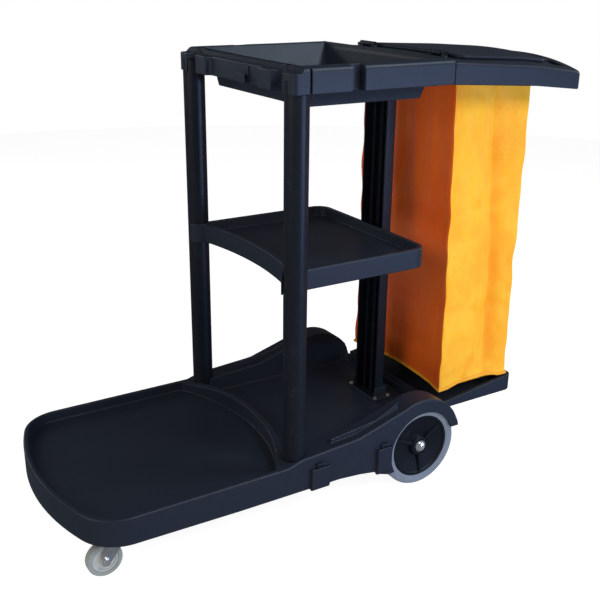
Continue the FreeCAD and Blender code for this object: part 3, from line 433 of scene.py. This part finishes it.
def sweep(bm, sections, closed=False):
    """Pulls a section along its places; each place is the section's points in order."""
    ring = [bm.verts.new(point) for point in sections[0]]
    edges = [bm.edges.new((a, b)) for a, b in zip(ring, ring[1:] + ring[:1])]
    first = edges
    for section in sections[1:]:
        made = bmesh.ops.extrude_edge_only(bm, edges=edges)["geom"]
        fresh = [item for item in made if isinstance(item, bmesh.types.BMVert)]
        edges = [item for item in made if isinstance(item, bmesh.types.BMEdge)]
        edges = [edge for edge in edges if all(vert in fresh for vert in edge.verts)]
        ring = [next(edge.other_vert(vert) for edge in vert.link_edges
                     if edge.other_vert(vert) in fresh) for vert in ring]
        for vert, point in zip(ring, section):
            vert.co = point
    if closed:
        bmesh.ops.bridge_loops(bm, edges=first + edges)
    else:
        bmesh.ops.holes_fill(bm, edges=first + edges, sides=len(ring))


# ---------------------------------------------------------------- operators

class CART_OT_finishes(bpy.types.Operator):
    """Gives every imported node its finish"""
    bl_idname = "cart.finishes"
    bl_label = "Finish the packed parts"

    def execute(self, context):
        look = context.scene.cart_finish
        plastic, scuff = tuple(look.plastic), tuple(look.scuff)
        made = {
            "black_plastic": moulded_plastic("black_plastic", plastic, scuff, 0.40, look.grain),
            "post_plastic": moulded_plastic("post_plastic", [c * 0.5 for c in plastic], scuff,
                                            0.36, look.grain * 0.8),
            "wheel_plastic": moulded_plastic("wheel_plastic", [c * 0.30 for c in plastic],
                                             [c * 0.45 for c in scuff], 0.44, look.grain),
            "grey_tyre": rubber("grey_tyre", tuple(look.tyre), (0.16, 0.16, 0.155)),
            "caster_tyre": rubber("caster_tyre", tuple(look.caster_tyre), (0.22, 0.22, 0.20), 0.55),
            "caster_core": moulded_plastic("caster_core", (0.50, 0.515, 0.50),
                                           (0.60, 0.61, 0.60), 0.38, 0.0009),
            "nylon": moulded_plastic("nylon", (0.62, 0.62, 0.58), (0.7, 0.7, 0.66), 0.4, 0.0009),
            "zinc_steel": plain_metal("zinc_steel", (0.56, 0.57, 0.59), 0.30, 0.18, 0.75),
            "polished_steel": plain_metal("polished_steel", (0.82, 0.83, 0.85), 0.14, 0.06, 0.8),
            # The bag cloth's front colour is painted shade for the panel that faces the deck.
            "bag_vinyl": coated_cloth("bag_vinyl", tuple(context.scene.cart_bag.cloth),
                                      tuple(context.scene.cart_bag.front)),
        }
        for part in frame["record"]["subparts"]:
            node = NODES[part["node"]]
            node.data.materials.clear()
            node.data.materials.append(made[part["material_slot"]])
            for face in node.data.polygons:
                face.material_index = 0
        pins = NODES["hinge_pins"].data.materials
        pins[0] = plain_metal("burnished_steel", (0.035, 0.036, 0.040), 0.50, 0.10)
        return {"FINISHED"}


MOULDED = {
    "base_deck": ("deck_moulding", 0.0019), "top_tray": ("tray_moulding", 0.0019),
    "shelf": ("shelf_moulding", 0.0019), "bag_frame": ("handle_moulding", 0.0019),
    "rear_platform": ("ledge_moulding", 0.0020), "column_foot": ("column_shoe", 0.0014),
    "rear_column": ("column_channel", 0.0012), "tray_hook": ("tray_scoop", 0.0008),
    "column_head": ("column_bracket", 0.0010), "pocket_clips": ("pocket_springs", 0.0004),
    "lid": ("lid_moulding", 0.0022),
}
ROLLED = {"base_deck": (0.148, 0.0045), "shelf": (0.570, 0.0045), "bag_frame": (0.925, 0.0070)}


class CART_OT_mouldings(bpy.types.Operator):
    """Rounds the edges of the moulded plastics"""
    bl_idname = "cart.mouldings"
    bl_label = "Mould the plastics"

    def execute(self, context):
        for node, (name, width) in MOULDED.items():
            bm = merged_copy(node)
            if node in ROLLED:
                roll_rim(bm, *ROLLED[node])
            body = "lid" if node == "lid" else "cart"
            soften(refit(node, name, bm, body), width)
        marks = bmesh.new()
        floor = frame["record"]["mounts"][0]["pos_m"][2]
        nose, corner = Vector((-0.586, 0.008, floor)), Vector((-0.500, 0.150, floor))
        bead(marks, nose, UP, 0.0105, 0.0016)
        bead(marks, nose, UP, 0.0040, 0.0012)
        bead(marks, corner, UP, 0.0020, 0.0016, 16)
        new_piece("gate_marks", marks, finish_of("base_deck"), "cart")
        return {"FINISHED"}


class CART_OT_rear_wheels(bpy.types.Operator):
    """Turns the tyres of the two rear wheels and rounds their rims"""
    bl_idname = "cart.rear_wheels"
    bl_label = "Turn the rear wheels"

    def execute(self, context):
        for tag in ("left", "right"):
            low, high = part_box(f"rear_tyre_{tag}")
            centre = (low + high) / 2
            radius = (high.x - low.x) / 2
            half = (high.y - low.y) / 2
            y = centre.y
            seat, shoulder = radius * 0.78, 0.009
            groove, groove_half = 0.0012, 0.004
            profile = [(seat, y - half + 0.003), (seat + 0.004, y - half + 0.0008)]
            profile += [(seat + 0.010, y - half + 0.0004)]
            profile += arc_points(radius - shoulder, y - half + shoulder, shoulder, -90, -12, 7)
            profile += [(radius, y - groove_half), (radius - groove, y - groove_half * 0.75),
                        (radius - groove, y + groove_half * 0.75), (radius, y + groove_half)]
            profile += arc_points(radius - shoulder, y + half - shoulder, shoulder, 12, 90, 7)
            profile += [(seat + 0.010, y + half - 0.0004), (seat + 0.004, y + half - 0.0008),
                        (seat, y + half - 0.003)]
            body = f"rear_wheel_{tag}"
            spun(f"tyre_{tag}", profile, centre, 128, f"rear_tyre_{tag}", body)
            rim = f"rear_rim_{tag}"
            soften(refit(rim, f"rim_{tag}", merged_copy(rim), body), 0.0009, 2)
        return {"FINISHED"}


class CART_OT_casters(bpy.types.Operator):
    """Turns the caster tyres and rounds the cores, forks and plates"""
    bl_idname = "cart.casters"
    bl_label = "Turn the casters"

    def execute(self, context):
        for tag in ("left", "right"):
            low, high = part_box(f"caster_tyre_{tag}")
            centre = (low + high) / 2
            radius, half = (high.x - low.x) / 2, (high.y - low.y) / 2
            seat, shoulder, y = 0.027, 0.005, centre.y
            profile = [(seat, y - half + 0.001), (seat + 0.002, y - half)]
            profile += arc_points(radius - shoulder, y - half + shoulder, shoulder, -90, -8, 6)
            profile += arc_points(radius - shoulder, y + half - shoulder, shoulder, 8, 90, 6)
            profile += [(seat + 0.002, y + half), (seat, y + half - 0.001)]
            wheel = f"caster_wheel_{tag}"
            spun(f"small_tyre_{tag}", profile, centre, 72, f"caster_tyre_{tag}", wheel)
            for kind, body, width in (("fork", f"caster_fork_{tag}", 0.0009), ("core", wheel, 0.0006),
                                      ("plate", "cart", 0.0006)):
                node = f"caster_{kind}_{tag}"
                soften(refit(node, f"{kind}_{tag}", merged_copy(node), body), width, 2)
        return {"FINISHED"}


def side_edges(bm, axis):
    """The edges of a box-like bmesh that run along one axis."""
    return [edge for edge in bm.edges
            if abs((edge.verts[0].co - edge.verts[1].co).normalized()[axis]) > 0.9]


def box_tube(low, high, cuts):
    """An open-topped box, divided into even squares."""
    bm = bmesh.new()
    bmesh.ops.create_cube(bm, size=1.0)
    bmesh.ops.scale(bm, vec=high - low, verts=bm.verts)
    bmesh.ops.translate(bm, vec=(low + high) / 2, verts=bm.verts)
    top = [face for face in bm.faces if face.normal.z > 0.9]
    bmesh.ops.delete(bm, geom=top, context="FACES_ONLY")
    for axis, count in enumerate(cuts):
        bmesh.ops.subdivide_edges(bm, edges=side_edges(bm, axis), cuts=count, use_grid_fill=True)
    return bm


def drape(piece, pinned, frames, pressure, shrink):
    """Lets the cloth hang from its pinned rim, then keeps the result."""
    group = piece.vertex_groups.new(name="rim")
    group.add(pinned, 1.0, "REPLACE")
    cloth = piece.modifiers.new("cloth", "CLOTH")
    work = cloth.settings
    work.quality = 6
    work.mass = 0.28
    work.tension_stiffness = work.compression_stiffness = 30
    work.shear_stiffness = 12
    work.bending_stiffness = 3.5
    work.air_damping = 2.0
    work.vertex_group_mass = "rim"
    work.shrink_min = shrink
    work.use_pressure = True
    work.uniform_pressure_force = pressure
    cloth.collision_settings.use_collision = False
    scene = bpy.context.scene
    scene.frame_start, scene.frame_end = 1, frames
    cloth.point_cache.frame_start, cloth.point_cache.frame_end = 1, frames
    for step in range(1, frames + 1):
        scene.frame_set(step)
    depsgraph = bpy.context.evaluated_depsgraph_get()
    result = bpy.data.meshes.new_from_object(piece.evaluated_get(depsgraph))
    piece.modifiers.remove(cloth)
    places = [v.co.copy() for v in result.vertices]
    bpy.data.meshes.remove(result)
    scene.frame_set(1)
    return places


def limited(share):
    """A share kept between 0 and 1."""
    return max(0.0, min(1.0, share))


def swell(value, centre, width):
    """A soft hump of height 1."""
    return math.exp(-((value - centre) / width) ** 2)


def fold(away, width):
    """A sharp crease of depth 1."""
    return math.exp(-abs(away) / width)


def rumple(x, y, z):
    """Smooth unevenness of the cloth."""
    return noise.noise(Vector((x, y, z)))


class CART_OT_bag(bpy.types.Operator):
    """Sews the hanging bag with its flaps, binding, stitches and eyelets"""
    bl_idname = "cart.bag"
    bl_label = "Sew the bag"

    def execute(self, context):
        sizes = context.scene.cart_bag
        self.low, self.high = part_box("bag")
        self.middle = (self.low + self.high) / 2
        top_half = self.half_at(self.high.z)
        start = Vector((self.low.x + CLOTH_SKIN, -top_half, self.low.z))
        end = Vector((self.high.x - CLOTH_SKIN, top_half, self.high.z))
        cuts = [int((end[axis] - start[axis]) / sizes.square) for axis in range(3)]
        bm = box_tube(start, end, cuts)
        for vert in bm.verts:
            vert.co.y *= self.half_at(vert.co.z) / top_half
        rest = [vert.co.copy() for vert in bm.verts]
        # Marks the panel that faces the deck, which gets a painted-shade colour.
        panel = bm.loops.layers.float.new("deck_side_shade")
        for face in bm.faces:
            for loop in face.loops:
                loop[panel] = 1.0 if face.normal.x < -0.9 else 0.0
        bag = new_piece("bag_cloth", bm, finish_of("bag"), "cart", ["bag"], 60)
        moved = rest
        rim_depth = 0.012
        rim = [index for index, co in enumerate(rest) if co.z > self.high.z - rim_depth]
        moved = drape(bag, rim, frames=24, pressure=0.35, shrink=-0.018)
        self.shape(bag, rest, moved, sizes)
        fine = bag.modifiers.new("fine cloth", "SUBSURF")
        fine.levels = fine.render_levels = 1
        self.trim(bag, rest, sizes)
        thickness = bag.modifiers.new("cloth thickness", "SOLIDIFY")
        thickness.thickness, thickness.offset = 0.0010, -1.0
        perimeter = 2 * (end.x - start.x + self.half_at(self.low.z) + top_half)
        height = self.high.z - self.low.z
        floor = (end.x - start.x) * 2 * self.half_at(self.low.z)
        length = height + end.x - start.x
        min(perimeter * height + floor, perimeter * length)
        return {"FINISHED"}

    def half_at(self, z):
        """Half width of the bag at a height: it widens downwards."""
        base = (self.high.y - self.low.y) / 2 - CLOTH_SKIN
        share = (z - self.low.z) / (self.high.z - self.low.z)
        return base + (MOUTH_HALF - base) * limited(share)

    def seam_x(self, z):
        """The sewn seam of each side leans a little towards the handle on its way down."""
        down = (self.high.z - z) / (self.high.z - self.low.z)
        share = 0.51 + 0.12 * min(1.0, down * 1.6)
        return self.low.x + (self.high.x - self.low.x) * share

    def shape(self, bag, rest, moved, sizes):
        """Caps the drape, then adds the pressed folds and the lifted hem, and stores how deep each side
        point sits in a valley as painted shade.
        """
        edge, full_shade_push, hem_start, most_inward = 0.985, 0.009, 0.78, 0.0075
        # Painted shade, stored per point: darker cloth colour where the side panel is pushed in.
        valley_shade = bag.data.attributes.new("valley_shade", "FLOAT", "POINT").data
        for vert, start, end, depth in zip(bag.data.vertices, rest, moved, valley_shade):
            shift = end - start
            if shift.length > sizes.give:
                shift *= sizes.give / shift.length
            co = start + shift
            across_x = (start.x - self.middle.x) / (self.high.x - self.low.x) * 2
            across_y = start.y / self.half_at(start.z)
            down = (self.high.z - start.z) / (self.high.z - self.low.z)
            hang = min(1.0, down * 3.0) * min(1.0, (1.0 - down) * 6.0 + 0.25)
            on_side, on_front = abs(across_y) > edge, abs(across_x) > edge
            if on_side and not on_front:
                push = self.side_push(start, across_x, down, hang)
                co.y += math.copysign(push, push * start.y)
                # The painted shade grows with how far the side panel sinks inwards.
                depth.value = limited(-push / full_shade_push)
            elif on_front and not on_side:
                ahead = math.copysign(1, across_x)
                co.x += ahead * self.front_push(start, across_y, down, hang, ahead)
            if down > hem_start:
                bend = ((down - hem_start) / (1 - hem_start)) ** 2
                along = across_x if on_side else across_y
                co.z += sizes.lift * (1 - min(1.0, abs(along)) ** 2) * bend
            waves = [0.5 + rumple(hand * 3.1, across_x, start.z * 15) for hand in (-1, 1)]
            inward = waves[0] * (1 - across_y) / 2 + waves[1] * (1 + across_y) / 2
            co.x -= math.copysign(most_inward, across_x) * across_x ** 4 * inward * hang
            co.x = max(self.low.x, min(self.high.x, co.x))
            co.z = max(self.low.z, co.z)
            vert.co = co
        bag.data.update()

    def side_push(self, spot, across, down, hang):
        """How far a point of a side panel stands out."""
        seam = (spot.x - self.seam_x(spot.z)) * 1000
        step = limited((seam + 2) / 12)
        push = -0.0095 * step * step * (3 - 2 * step) * swell(max(0.0, seam - 8), 0, 24) * hang
        push += 0.0040 * swell(across, -0.50, 0.34) * hang
        push += 0.0050 * swell(across, 0.72, 0.20) * hang
        push -= 0.0058 * fold(down - 0.735 - across * 0.012, 0.010)
        push -= 0.0036 * fold(down - 0.40 + across * 0.03, 0.012)
        slant = (spot.z - self.low.z) * 0.55 - (spot.x - self.low.x) + 0.075
        push -= 0.0075 * fold(slant, 0.008) * limited((down - 0.80) * 12)
        line = rumple(spot.x * 9, spot.y * 20, spot.z * 21 + spot.x * 7)
        push -= 0.0034 * swell(line, 0, 0.17) * (0.45 + 0.55 * across ** 2)
        push += 0.0060 * rumple(spot.x * 10, spot.y * 20, spot.z * 3.4) * hang
        push += 0.0045 * rumple(spot.x * 26 + spot.z * 9, spot.y * 40, spot.z * 13) * hang
        return push * (1 - across ** 6)

    def front_push(self, spot, across, down, hang, ahead):
        """How far a point of the front or the rear panel stands out."""
        push = 0.0034 * math.sin(across * 4.6 + 0.6 * ahead) * hang
        push -= 0.0030 * fold(down - 0.735, 0.010)
        push += 0.0034 * rumple(spot.y * 9, ahead * 5.3, spot.z * 2.6) * hang
        push += 0.0016 * rumple(spot.y * 24 + spot.z * 8, ahead * 2.3, spot.z * 12) * hang
        return push * (1 - across ** 6)

    def trim(self, bag, rest, sizes):
        """Binding round the hem, a flap on each side, rows of stitches and the eyelets."""
        tree = BVHTree.FromObject(bag, bpy.context.evaluated_depsgraph_get())

        def surface(x, z, hand):
            """The point of a side panel at that place."""
            hit = tree.ray_cast(Vector((x, hand * 0.3, z)), Vector((0, -hand, 0)))
            return hit[0] if hit[0] else Vector((x, hand * self.half_at(z), z))

        flaps, stitches = bmesh.new(), bmesh.new()
        rows, below_mouth, short_by = 90, 0.020, 0.060
        heights = [self.high.z - below_mouth - (self.high.z - self.low.z - short_by) * row / rows
                   for row in range(rows + 1)]
        for hand in (1, -1):
            out = Vector((0, hand, 0))
            sections = []
            for z in heights:
                seam = self.seam_x(z)
                pucker = 0.0005 * math.sin(z * 620) + 0.0005 * rumple(z * 60, hand, 0)
                strip = ((-sizes.flap, -0.0004), (-sizes.flap * 0.6, 0.0012), (-0.0022, 0.0026 + pucker),
                         (0, 0.0021), (0.0003, -0.0004))
                sections.append([surface(seam + aside, z, hand) + out * proud
                                 for aside, proud in strip])
            sweep(flaps, sections)
            for inset, proud in ((0.0045, 0.0029), (sizes.flap * 0.45, 0.0024)):
                self.sew(stitches, [surface(self.seam_x(z) - inset, z, hand) + out * proud
                                    for z in heights])
        bmesh.ops.recalc_face_normals(flaps, faces=flaps.faces)
        cloth = coated_cloth("bag_flap_cloth", tuple(sizes.cloth))
        new_piece("bag_flaps", flaps, cloth, "cart", smooth_angle=50)

        thread = Finish("bag_thread", Roughness=0.6)
        fuzz = thread.noise(2400.0, 2.0)
        thread.link(Base_Color=thread.mix(fuzz, (0.82, 0.34, 0.02, 1), (0.98, 0.56, 0.08, 1)))
        new_piece("bag_stitches", stitches, thread.material, "cart")
        self.bind_hem(bag, rest)

        eyelets = bmesh.new()
        peg_z = sum(co[2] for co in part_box("bag_hooks")) / 2
        inner_ring, outer_ring = (0.0052, 0.0016), (0.0068, 0.0012)
        for x, hand in [(x, hand) for x in PEGS_X for hand in (1, -1)]:
            spot = surface(x, peg_z, hand) + Vector((0, hand * 0.0004, 0))
            for radius, thick in (inner_ring, outer_ring):
                bead(eyelets, spot, Vector((0, 1, 0)), radius, thick, 24)
        bmesh.ops.recalc_face_normals(eyelets, faces=eyelets.faces)
        new_piece("bag_eyelets", eyelets, finish_of("rear_axle"), "cart")

    def bind_hem(self, bag, rest):
        """Tape folded round the lower edge of the bag."""
        near, end_x = 0.0001, (self.high.x - self.low.x) / 2 - CLOTH_SKIN

        def outward(cut):
            """Which way the hem faces there."""
            out = Vector((0, 0, 0))
            if abs(abs(cut.y) - self.half_at(cut.z)) < near:
                out.y = math.copysign(1, cut.y)
            if abs(abs(cut.x - self.middle.x) - end_x) < near:
                out.x = math.copysign(1, cut.x - self.middle.x)
            return out

        hem = [index for index, cut in enumerate(rest)
               if abs(cut.z - self.low.z) < near and outward(cut).length > 0]
        hem.sort(key=lambda index: math.atan2(rest[index].y, rest[index].x - self.middle.x))
        tape = ((-0.0008, 0.0075), (0.0008, 0.0075), (0.0014, 0.0040), (0.0012, 0.0004),
                (-0.0010, 0.0002))
        sections = []
        for index in hem:
            spot, out = bag.data.vertices[index].co, outward(rest[index])
            sections.append([spot + out * proud + UP * rise for proud, rise in tape])
        binding = bmesh.new()
        sweep(binding, sections, closed=True)
        bmesh.ops.recalc_face_normals(binding, faces=binding.faces)
        # The tape is coloured darker all round to match the hem along the shaded front: painted shade.
        shade_darkened_tape = coated_cloth("bag_tape", (0.92, 0.40, 0.025))
        new_piece("bag_binding", binding, shade_darkened_tape, "cart", smooth_angle=50)

    @staticmethod
    def sew(bm, points, pitch=0.0066, length=0.0040, thread=0.0009):
        """Short raised stitches along the points."""
        place = 0.0
        for start, end in zip(points, points[1:]):
            leg = end - start
            while place < leg.length:
                turn = leg.to_track_quat("X", "Z").to_matrix().to_4x4()
                matrix = (Matrix.Translation(start + leg.normalized() * place) @ turn
                          @ Matrix.Diagonal((length, thread, thread, 1)))
                bmesh.ops.create_icosphere(bm, subdivisions=1, radius=0.5, matrix=matrix)
                place += pitch
            place -= leg.length


# name, place, size, power and colour of each light
LIGHTS = (
    ("key", (0.6, -2.9, 2.5), (1.6, 1.0), 53, (1.0, 0.96, 0.92)),
    ("side", (1.8, -3.0, 0.3), (1.6, 0.5), 42, (0.40, 0.56, 1.0)),
    ("top", (1.5, -1.1, 2.9), (0.6, 0.6), 26, (0.68, 0.84, 1.0)),
    ("front", (-3.2, -0.3, 1.9), (2.6, 2.2), 46, (1.0, 0.94, 0.86)),
    ("far", (-1.5, 3.2, 1.6), (1.4, 1.0), 14, (0.9, 0.95, 1.0)),
    ("rear", (3.0, -0.3, 1.6), (1.2, 1.2), 14, (1.0, 0.98, 0.95)),
)


class CART_OT_studio(bpy.types.Operator):
    """Sets the pale floor, the lights and the camera"""
    bl_idname = "cart.studio"
    bl_label = "Set the studio"

    def execute(self, context):
        studio = context.scene.cart_studio
        context.scene.view_settings.view_transform = "Standard"
        bm = bmesh.new()
        bmesh.ops.create_circle(bm, cap_ends=True, segments=96, radius=FLOOR_RADIUS)
        mesh = bpy.data.meshes.new("studio_floor")
        bm.to_mesh(mesh)
        bm.free()
        floor = bpy.data.objects.new("studio_floor", mesh)
        context.scene.collection.objects.link(floor)
        pale = Finish("studio_paint", Roughness=0.95, Specular_IOR_Level=0.0, Emission_Strength=0.93,
                      Emission_Color=(1, 1, 1, 1))
        grain = pale.noise(3.0, 3.0)
        pale.link(Base_Color=pale.mix(grain, (0.30, 0.30, 0.30, 1), (0.32, 0.32, 0.32, 1)))
        mesh.materials.append(pale.material)
        floor.visible_glossy = False

        world = bpy.data.worlds.new("studio_air")
        world.use_nodes = True
        tree = world.node_tree
        dim = tree.nodes["Background"]
        dim.inputs["Color"].default_value = (0.90, 0.95, 1.0, 1)
        dim.inputs["Strength"].default_value = 0.07
        seen = tree.nodes.new("ShaderNodeBackground")
        seen.inputs["Color"].default_value = (1, 1, 1, 1)
        seen.inputs["Strength"].default_value = 1.0
        rays = tree.nodes.new("ShaderNodeLightPath")
        pick = tree.nodes.new("ShaderNodeMixShader")
        tree.links.new(rays.outputs["Is Camera Ray"], pick.inputs[0])
        tree.links.new(dim.outputs[0], pick.inputs[1])
        tree.links.new(seen.outputs[0], pick.inputs[2])
        tree.links.new(pick.outputs[0], tree.nodes["World Output"].inputs["Surface"])
        context.scene.world = world

        middle = (CAD_LOW + CAD_HIGH) / 2
        for name, place, size, power, tint in LIGHTS:
            light = bpy.data.lights.new(name, "AREA")
            light.shape = "RECTANGLE"
            light.size, light.size_y = size
            light.energy = power
            light.color = tint
            lamp = bpy.data.objects.new(name, light)
            context.scene.collection.objects.link(lamp)
            lamp.location = place
            lamp.rotation_euler = (middle - lamp.location).to_track_quat("-Z", "Y").to_euler()

        camera_data = bpy.data.cameras.new("camera")
        camera_data.lens = studio.lens
        camera_data.sensor_width = 36.0
        camera = bpy.data.objects.new("camera", camera_data)
        context.scene.collection.objects.link(camera)
        ahead = Vector((math.sin(studio.heading) * math.cos(studio.tilt),
                        math.cos(studio.heading) * math.cos(studio.tilt), -math.sin(studio.tilt)))
        right = ahead.cross(UP).normalized()
        up = right.cross(ahead)
        lean_right = right * math.cos(studio.roll) + up * math.sin(studio.roll)
        lean_up = up * math.cos(studio.roll) - right * math.sin(studio.roll)
        camera.matrix_world = Matrix.Translation(studio.spot) @ Matrix(
            (lean_right, lean_up, -ahead)).transposed().to_4x4()
        context.scene.camera = camera
        return {"FINISHED"}


class CART_PT_panel(bpy.types.Panel):
    """The steps of the cart, in order"""
    bl_idname = "CART_PT_panel"
    bl_label = "Housekeeping Cart"
    bl_space_type = "VIEW_3D"
    bl_region_type = "UI"
    bl_category = "Cart"

    def draw(self, context):
        for step in STEPS:
            self.layout.operator(step.bl_idname)


STEPS = (CART_OT_finishes, CART_OT_mouldings, CART_OT_rear_wheels, CART_OT_casters, CART_OT_bag,
         CART_OT_studio)
GROUPS = {"cart_finish": CartFinishSettings, "cart_bag": CartBagSettings,
          "cart_studio": CartStudioSettings}


def register():
    for group in GROUPS.values():
        bpy.utils.register_class(group)
    for name, group in GROUPS.items():
        setattr(bpy.types.Scene, name, PointerProperty(type=group))
    for step in (*STEPS, CART_PT_panel):
        bpy.utils.register_class(step)


def unregister():
    for step in (*STEPS, CART_PT_panel):
        bpy.utils.unregister_class(step)
    for name, group in GROUPS.items():
        delattr(bpy.types.Scene, name)
        bpy.utils.unregister_class(group)


def main():
    register()
    for step in STEPS:
        family, name = step.bl_idname.split(".")
        getattr(getattr(bpy.ops, family), name)()


if __name__ == "__main__":
    main()
